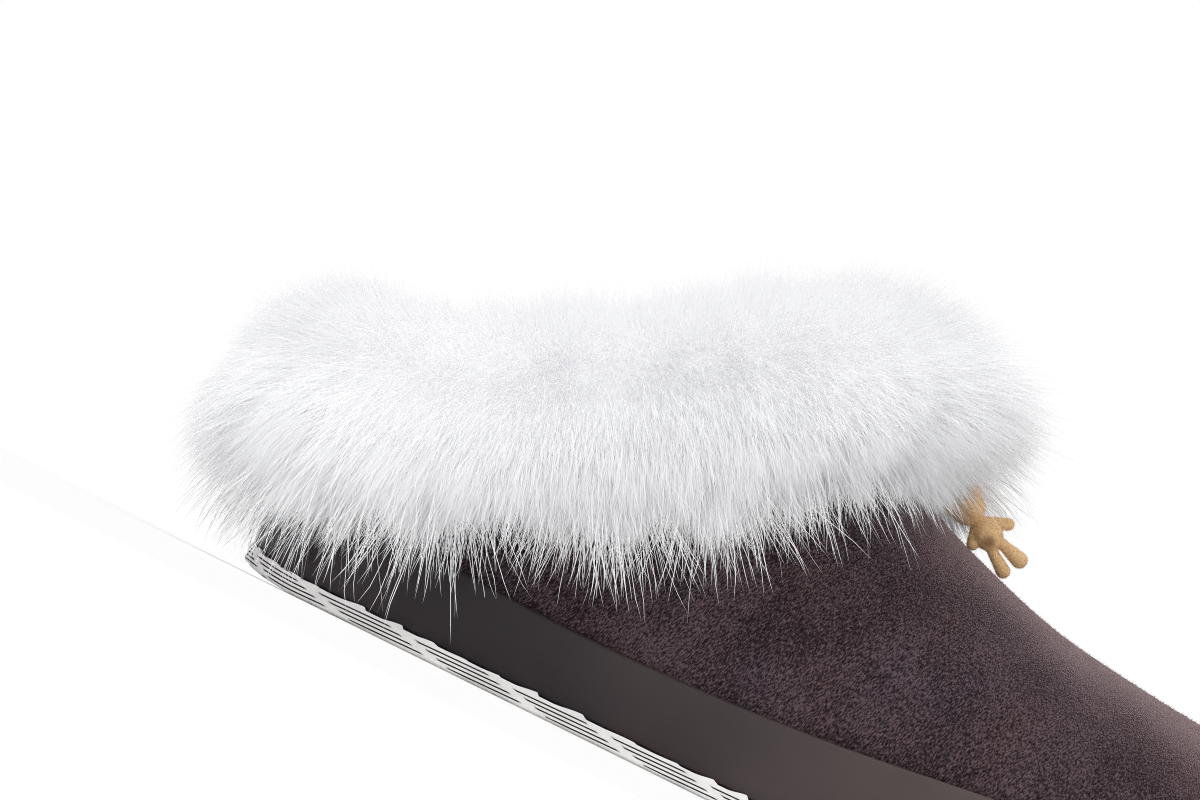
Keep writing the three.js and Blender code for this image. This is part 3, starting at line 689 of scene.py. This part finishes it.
# The underfur is greyer than the hair: painted shade from deep in the pile, on the mass that stands in for
# the inner hair.
SHADED_UNDERFUR = (0.90, 0.90, 0.91, 1)
UNDERFUR_SHADE = (0.84, 0.84, 0.85, 1)


def round_mean(values, reach):
    """Each value of a closed row replaced by the mean of those within reach of it."""
    return sum(np.roll(values, k, axis=0) for k in range(-reach, reach + 1)) / (2 * reach + 1)


def collar_loop():
    """The collar's edge in equal steps from the heel along the outer side, with the way along it, out
    of the wall and down the wall, and each point's place between heel and throat."""
    edge = wall[-1][is_cut]
    out = surface_out(wall)[-2][is_cut]
    closed = np.vstack([edge, edge[:1]])
    way = np.append(0, np.cumsum(np.linalg.norm(np.diff(closed, axis=0), axis=1)))
    even = np.linspace(0, way[-1], COLLAR_STEPS, endpoint=False)
    at = np.column_stack([np.interp(even, way, closed[:, k]) for k in range(3)])
    out = np.column_stack([np.interp(even, way, np.append(out[:, k], out[0, k])) for k in range(3)])
    at = round_mean(at, EDGE_EVENED)
    along = unit(np.roll(at, -1, axis=0) - np.roll(at, 1, axis=0))
    out = unit(round_mean(out, OUT_EVENED))
    down = unit(np.cross(along, out))
    place = (at[:, 0] - at[:, 0].min()) / np.ptp(at[:, 0])
    return at, along, unit(np.cross(down, along)), down, place, way[-1]


loop_at, loop_along, loop_out, loop_down, loop_place, loop_length = collar_loop()


def pile_field(turn, section):
    """Where a hair is rooted, the frame there, its angle and its length, for a turn round the collar
    and a place round the pelt's section: two straight legs joined over the edge by half a circle."""
    k = np.floor(turn * COLLAR_STEPS).astype(int) % COLLAR_STEPS
    along, out, down = loop_along[k], loop_out[k], loop_down[k]
    place = loop_place[k]
    outside = np.clip(1 - section / ROLL_START, 0, 1) * smooth_through(PILE_PLACES, PELT_DROPS, place)
    inside = np.clip((section - ROLL_END) / (1 - ROLL_END), 0, 1) * PELT_DROP_INSIDE
    roll = np.clip((section - ROLL_START) / (ROLL_END - ROLL_START), 0, 1) * math.pi
    middle = -UPPER_WALL / 2
    reach = middle + (PELT_OUT - middle) * np.cos(roll)
    drop = outside + inside - ROLL * np.sin(roll)
    root = loop_at[k] + down * drop[..., None] + out * reach[..., None]
    angle = np.radians(smooth_through(PILE[:, 0], PILE[:, 1], section))
    heel, side, throat = (smooth_through(PILE[:, 0], PILE[:, c], section) for c in (2, 3, 4))
    nearness = np.abs(2 * place - 1)
    end = np.where(place < 0.5, heel, throat)
    length = side + (end - side) * soft_step(0.1, 1, nearness)
    parted = soft_step(*PARTING_START, turn) * soft_step(*PARTING_END, turn)
    parted = parted * soft_step(*PARTED_FROM, section)
    wave = sum(change * np.exp(-((turn - at) / half) ** 2) for at, half, change in HEM_WAVES)
    length = length * (1 - (1 - PARTED_LENGTH) * parted) * (1 + wave * soft_step(*WAVES_FROM, section))
    return root, along, out, down, angle, length


def hair_arc(share, angle, lean, along, out, down):
    """Where a hair of unit length is at a share of it. The hair hangs at no angle, stands out at a
    quarter turn and is upright at half a turn. Its weight turns it down evenly by the bend times the
    sine of its angle, so it is an arc of a circle, and it leans along the collar."""
    bend = BEND * np.sin(angle)
    bend = np.where(np.abs(bend) < LEAST_BEND, LEAST_BEND, bend)
    end = angle - bend * share
    fall = (np.sin(angle) - np.sin(end)) / bend
    reach = (np.cos(end) - np.cos(angle)) / bend
    parts = (fall * np.cos(lean), reach * np.cos(lean), share * np.sin(lean))
    return sum(part[..., None] * axis for part, axis in zip(parts, (down, out, along)))


def pelt_mass():
    """The closed mass under the hair tips: the pile field's roots, moved a share of the way along their
    hairs, and every third row of the same roots, sunk a little, on the way back."""
    rows, columns = PELT_GRID
    turn = np.linspace(0, 1, columns, endpoint=False)[None, :]
    section = np.interp(np.linspace(0, 1, rows), HAIR_SHARES, HAIR_PLACES)[:, None]
    turn, section = np.broadcast_arrays(turn, section)
    root, along, out, down, angle, length = pile_field(turn, section)
    mass = MASS_AT_HEM + (MASS_AT_TOP - MASS_AT_HEM) * soft_step(0.3, 0.6, section)
    share = np.minimum(mass, MASS_MOST / length)
    outer = root + hair_arc(share, angle, 0 * angle, along, out, down) * length[..., None]
    return np.concatenate([outer, root[::-3] - out[::-3] * PELT_SINK, outer[:1]])


def fur_finish(name, tip, root):
    """Silky white pile, a little greyer in patches as wide as a lock."""
    fur, shader = new_finish(name, Roughness=0.55, Specular_IOR_Level=0.25)
    locks = mottle(fur, LOCK_TONE, detail=2, stretch=(1, 1, 3))
    wire(fur, shade_between(fur, locks, (0.3, root), (0.6, tip)), shader, "Base Color")
    return fur


furs = [
    fur_finish("white pile", WHITES[0], WHITES[1]),
    fur_finish("soft white pile", WHITES[1], WHITES[2]),
    fur_finish("silver pile", WHITES[0], WHITES[2]),
]
shaded_underfur = plush_finish("shaded_underfur", SHADED_UNDERFUR, UNDERFUR_SHADE)
pelt = make_piece("fur_pelt", [(pelt_mass(), True)], [shaded_underfur], sharp=180)
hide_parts("fur_collar")


def clumped(turn, section, width, height, spread):
    """Numbers shared by the hairs of one lock: the collar is divided into cells of a width and height,
    and each cell draws its own values, with the way from each hair to its cell's middle."""
    column = np.floor(turn * loop_length / width)
    row = np.floor(section * PELT_WIDTH / height + 0.5 * (column % 2))
    kind = ((column * 131 + row * 17) % LOCK_KINDS).astype(int)
    values = rng.normal(0, spread, (LOCK_KINDS, len(spread)))[kind]
    middle = (column + 0.5 + 0.3 * np.tanh(values[:, 0])) * width - turn * loop_length
    return values, middle


def brushed(turn):
    """How far the pile is brushed back to the heel, in radians: two equal humps round the collar, of
    opposite sense on the outer and the inner side."""
    outer, inner = (np.exp(-((turn % 1 - at) / BRUSH_REACH) ** 2) for at in (BRUSH_AT, 1 - BRUSH_AT))
    return BRUSH_LEAN * (outer - inner)


def fur_strands(name, start, end, count, places, levels, width, loose):
    """Hairs over one stretch of the collar, each an arc that grows as the pile field says, turned by its
    lock, by itself and by the brushing. It sinks, curls and is drawn to its lock's middle as the square
    of the way to its tip. Locks part most at the hem. Loose hairs there are longer and cross the rest."""
    turn = rng.uniform(start, end, count)
    section = np.interp(rng.random(count), HAIR_SHARES, places)
    root, along, out, down, angle, length = pile_field(turn, section)
    hem = soft_step(*HEM_FROM, section)
    parting = (LOCKS_AT_TOP + (1 - LOCKS_AT_TOP) * hem) * (1 - LOOSENESS * loose)
    big, to_big = clumped(turn, section, *BIG_LOCK)
    small, to_small = clumped(turn, section, *SMALL_LOCK)
    own = OWN_TURN + loose * (LOOSE_TURN + LOOSE_TURN_AT_HEM * hem)
    angle = angle + parting * (big[:, 1] + small[:, 1]) + np.abs(LIFT * own * rng.normal(0, 1, count))
    lean = parting * (big[:, 2] + small[:, 2]) + own * rng.normal(0, 1, count) - brushed(turn)
    length = length * (1 + parting * (big[:, 3] + small[:, 3]) + rng.normal(0, LENGTH_SPREAD, count))
    from_throat = soft_step(*THROAT_REACH, np.abs(turn - 0.5))
    most = LOOSE_LONGER_AT_THROAT + (LOOSE_LONGER - LOOSE_LONGER_AT_THROAT) * from_throat
    growth = LOOSE_SHORTER + most * hem * soft_step(*LONG_ENOUGH, length)
    longer = loose * (growth * rng.random(count) - LOOSE_SHORTER)
    shorter = (1 - loose) * (SHORTER + SHORTER_AT_HEM * hem) * rng.random(count)
    length = length * (1 + longer - shorter)
    steps = STRAND_START + (1 - STRAND_START) * np.sqrt(np.linspace(0, 1, levels + 1))[None, :]
    axes = (along[:, None], out[:, None], down[:, None])
    arc = hair_arc(steps, angle[:, None], lean[:, None], *axes)
    share = steps[..., None]
    frizz = rng.normal(0, FRIZZ, (count, levels + 1, 3)) * (1 - LOOSE_SMOOTH * loose) * share
    curl = np.clip(rng.normal(0, 1, (count, 1, 3)), -2, 2) * share**2
    curl = curl * (CURL + LOOSE_CURL * loose * hem)[:, None, None]
    path = root[:, None] + (arc + frizz + curl + DROOP * share**2) * length[:, None, None]
    draw = LOCK_DRAW * parting * (to_big + to_small)
    path = path + along[:, None] * draw[:, None, None] * share**2
    path[..., 2] = np.maximum(path[..., 2], FLOOR_ROOM)
    way = unit(path[:, -1] - path[:, 0])
    side = unit(np.cross(way, out) + 0.3 * along)
    twist = rng.normal(0, TWIST, count)[:, None]
    side = unit(side * np.cos(twist) + np.cross(way, side) * np.sin(twist))
    half = width / 2 * (WIDER_AT_TOP - FINER_AT_HEM * hem)[:, None] * np.linspace(1, HAIR_TAPER, levels)
    half = side[:, None] * half[..., None]
    pairs = path[:, :levels]
    kinds = rng.integers(0, len(furs), count)
    return ribbon_piece(name, pairs - half, pairs + half, path[:, levels], furs, kinds)


for stretch, begin, end, hairs in STRETCHES:
    fur_strands("fur_" + stretch, begin, end, hairs, HAIR_PLACES, 2, HAIR_WIDTH, loose=0)
fur_strands("fur_strays", 0, 1, STRAYS, STRAY_PLACES, 3, STRAY_WIDTH, loose=1)


# Toy: a small tan figure moulded in one piece with a head, ears, muzzle, arms and legs, and flocked all
# over with short fibres. It lies on its side on the instep and is stitched there, half under the fur.
TOY_BODY = np.array([147.2, -2, 82.1])
TOY_SLOPE = math.radians(27.5)
# Round parts: place along the toy from head to feet, across it and to its front, radius, stretch
TOY_BLOBS = (
    (-6.6, 0, 0, 3.9, 0.95), (-5.7, 0, 3, 1.7, 1), (-9, 3.3, 0, 1.6, 1.25), (-9, -3.3, 0, 1.6, 1.25),
    (0.6, 0, 0, 3.4, 1.16),
)
# Limbs: root along and across, end along and across, radius at the root and at the end
TOY_LIMBS = (
    (-2.2, 1.6, 1.6, 5.2, 0.95, 1.45), (-2.2, -1.6, 0.4, -4.1, 0.95, 1.4),
    (3, 1.2, 9.6, 2.4, 1.05, 1.9), (3, -1.2, 9.4, -2.1, 1.05, 1.65),
)
TOY_RING = 20  # points round each part
TOY_RINGS = 15
LIMB_END_RINGS = 7
TOY_VOXEL = 0.3  # fineness of the fused skin
TOY_SOFTENING = 5  # rounds in which the joints of its parts are softened
FLOCK_NAP = 0.35
FLOCK_DEPTH = 0.2
FLOCK_LENGTH = 0.42
FLOCK_WIDTH = 0.09
FLOCK_TILT = 0.35
FLOCK_ROOT = 0.1
TAN = (0.86, 0.60, 0.33, 1)
TAN_SHADE = (0.56, 0.335, 0.145, 1)
# The belly patch: a soft darker brown spot on the belly's lower front, evenly dark within its core.
BELLY_BROWN = (0.27, 0.125, 0.05, 1)
BELLY = (2.2, -1.3, 3.2)  # along the toy, across it and to its front
BELLY_RADIUS = 2.3
BELLY_CORE = 0.3  # share of the radius within which the patch is evenly brown
BELLY_DEPTH = 0.75  # share of brown there
TOY_AXES = np.array([
    (math.cos(TOY_SLOPE), 0, -math.sin(TOY_SLOPE)),
    (math.sin(TOY_SLOPE), 0, math.cos(TOY_SLOPE)),
    (0, -1, 0),
])


def toy_point(along, side, front):
    """A place on the toy: its body's middle and a way along each of its axes."""
    return TOY_BODY + np.array([along, side, front]) @ TOY_AXES


def turned_shape(start, end, radii, places):
    """A round body between two points: rings of given radii at given distances along the line."""
    axis = unit(end - start)
    first = unit(np.cross(axis, (0.3, 0.9, 0.2)))
    second = np.cross(axis, first)
    angle = np.linspace(0, 2 * math.pi, TOY_RING, endpoint=False)
    circle = np.cos(angle)[:, None] * first + np.sin(angle)[:, None] * second
    return start + places[:, None, None] * axis + radii[:, None, None] * circle


def toy_blob(along, side, front, radius, stretch):
    """A ball stretched along the toy: radius by the sine of the polar angle, place by its cosine."""
    polar = np.linspace(0, math.pi, TOY_RINGS)
    at = toy_point(along, side, front)
    return turned_shape(at, at + TOY_AXES[0], radius * np.sin(polar), -radius * stretch * np.cos(polar))


def toy_limb(root_along, root_side, end_along, end_side, thin, thick):
    """A limb: a half ball, a straight taper and a larger half ball, turned round its line."""
    start = toy_point(root_along, root_side, 0)
    end = toy_point(end_along, end_side, 0)
    length = np.linalg.norm(end - start)
    polar = np.linspace(0, math.pi / 2, LIMB_END_RINGS)
    radii = np.concatenate([thin * np.sin(polar), thick * np.cos(polar)])
    places = np.concatenate([-thin * np.cos(polar), length + thick * np.sin(polar)])
    return turned_shape(start, end, radii, places)


flock, flock_shader = new_finish("tan flock", Roughness=0.95, Sheen_Weight=0.3, Specular_IOR_Level=0.1)
flock_nap = mottle(flock, FLOCK_NAP, detail=3)
flock_tone = shade_between(flock, flock_nap, (0.3, TAN_SHADE), (0.65, TAN))
flock_place = add_node(flock, "TexCoord").outputs["Object"]
from_belly = add_node(flock, "VectorMath", [(0, flock_place)], operation="DISTANCE")
from_belly.inputs[1].default_value = (toy_point(*BELLY) + HEEL) * MM
belly_share = add_node(
    flock, "MapRange", [("Value", from_belly.outputs["Value"])], interpolation_type="SMOOTHSTEP",
    **{"From Min": BELLY_CORE * BELLY_RADIUS * MM, "From Max": BELLY_RADIUS * MM, "To Min": BELLY_DEPTH,
       "To Max": 0})
flock_mix = add_node(
    flock, "MixRGB", [("Fac", belly_share.outputs[0]), ("Color1", flock_tone)], Color2=BELLY_BROWN)
wire(flock, flock_mix.outputs["Color"], flock_shader, "Base Color")
emboss(flock, flock_shader, flock_nap, 0.6, FLOCK_DEPTH)

toy_parts = [toy_blob(*row) for row in TOY_BLOBS] + [toy_limb(*row) for row in TOY_LIMBS]
toy = make_piece("toy", [(part, True) for part in toy_parts], [flock], sharp=180)
fuse = toy.modifiers.new("fuse", "REMESH")
fuse.mode = "VOXEL"
fuse.voxel_size = TOY_VOXEL * MM
soften = toy.modifiers.new("soften", "SMOOTH")
soften.factor = 0.5
soften.iterations = TOY_SOFTENING
bpy.context.view_layer.update()
moulded = bpy.data.meshes.new_from_object(toy.evaluated_get(bpy.context.evaluated_depsgraph_get()))
toy.modifiers.clear()
toy.data = moulded
moulded.name = "toy"
moulded.shade_smooth()
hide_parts("charm_bear")


def flock_fibres():
    """One short fibre on each face of the toy, standing out along the face's normal with some tilt."""
    count = len(moulded.polygons)
    centre = np.empty(count * 3, np.float32)
    normal = np.empty(count * 3, np.float32)
    moulded.polygons.foreach_get("center", centre)
    moulded.polygons.foreach_get("normal", normal)
    centre = centre.reshape(-1, 3) / MM - HEEL
    normal = normal.reshape(-1, 3)
    way = unit(normal + rng.normal(0, FLOCK_TILT, (count, 3)))
    side = unit(np.cross(way, rng.normal(0, 1, (count, 3)))) * FLOCK_WIDTH / 2
    root = (centre - FLOCK_ROOT * normal)[:, None]
    tip = centre + way * FLOCK_LENGTH * rng.uniform(0.6, 1.1, (count, 1))
    return ribbon_piece(
        "toy_flock", root - side[:, None], root + side[:, None], tip, [flock], np.zeros(count))


flock_fibres()


# Studio: a plain pale paper floor, a white surround and broad soft lights from front and back. The
# camera looks at the outer side from just above the floor, rolled so that the toe points down.
PHOTO_ROLL = math.radians(26.3)
CAMERA_AIM = np.array([55.5, -36, 67])
CAMERA_AWAY = 700
CAMERA_HEIGHT = 1
FIELD_WIDTH = 258  # millimetres across the picture at the aim
FLOOR_SIZE = 6  # metres
PAPER = (0.992, 0.992, 0.992, 1)
PAPER_SHADE = (0.985, 0.985, 0.985, 1)
PAPER_CLOUDS = 400
SURROUND = 0.565
LIGHTS = (("front", 40, 1.72), ("back", -35, 0.12))  # side, tilt in degrees, strength
LIGHT_SPREAD = math.radians(110)
BOUNCES = 16  # enough for light to find its way through white pile
HEELWARD = Matrix.Rotation(math.radians(-10), 4, "Y")  # the lights lean to the heel's side

floor_finish, floor_shader = new_finish("floor paper", Roughness=0.9, Specular_IOR_Level=0.1)
paper = mottle(floor_finish, PAPER_CLOUDS, detail=2)
paper_tone = shade_between(floor_finish, paper, (0.3, PAPER_SHADE), (0.7, PAPER))
wire(floor_finish, paper_tone, floor_shader, "Base Color")
floor_mesh = bpy.data.meshes.new("floor")
corners = FLOOR_SIZE / 2 * np.array([(-1, -1, 0), (1, -1, 0), (1, 1, 0), (-1, 1, 0)])
floor_mesh.from_pydata(corners.tolist(), [], [(0, 1, 2, 3)])
floor_mesh.materials.append(floor_finish)
floor = bpy.data.objects.new("floor", floor_mesh)
bpy.context.scene.collection.objects.link(floor)

world = bpy.data.worlds.new("white surround")
world.use_nodes = True
surround = world.node_tree.nodes["Background"]
seen = world.node_tree.nodes.new("ShaderNodeLightPath").outputs["Is Camera Ray"]
level = world.node_tree.nodes.new("ShaderNodeMapRange")
level.inputs["To Min"].default_value = SURROUND
level.inputs["To Max"].default_value = 1.0
world.node_tree.links.new(seen, level.inputs["Value"])
world.node_tree.links.new(level.outputs[0], surround.inputs["Strength"])
surround.inputs["Color"].default_value = (1, 1, 1, 1)
bpy.context.scene.world = world

for side, tilt, strength in LIGHTS:
    softbox = bpy.data.lights.new(side + " light", "SUN")
    softbox.angle = LIGHT_SPREAD
    softbox.energy = strength
    light = bpy.data.objects.new(side + " light", softbox)
    light.matrix_world = HEELWARD @ Matrix.Rotation(math.radians(tilt), 4, "X")
    bpy.context.scene.collection.objects.link(light)

camera = bpy.data.cameras.new("camera")
camera.sensor_width = 36
camera.lens = camera.sensor_width * CAMERA_AWAY / FIELD_WIDTH
eye = bpy.data.objects.new("camera", camera)
aim = Vector((CAMERA_AIM + HEEL) * MM)
place = Vector((aim.x, aim.y - CAMERA_AWAY * MM, CAMERA_HEIGHT * MM))
facing = (aim - place).to_track_quat("-Z", "Y").to_matrix().to_4x4()
eye.matrix_world = Matrix.Translation(place) @ facing @ Matrix.Rotation(PHOTO_ROLL, 4, "Z")
bpy.context.scene.collection.objects.link(eye)
bpy.context.scene.camera = eye
bpy.context.scene.view_settings.view_transform = "Standard"
bpy.context.scene.cycles.max_bounces = BOUNCES
bpy.context.scene.cycles.diffuse_bounces = BOUNCES
bpy.context.scene.cycles.filter_width = 1.0
bpy.context.scene.cycles.denoising_prefilter = "NONE"
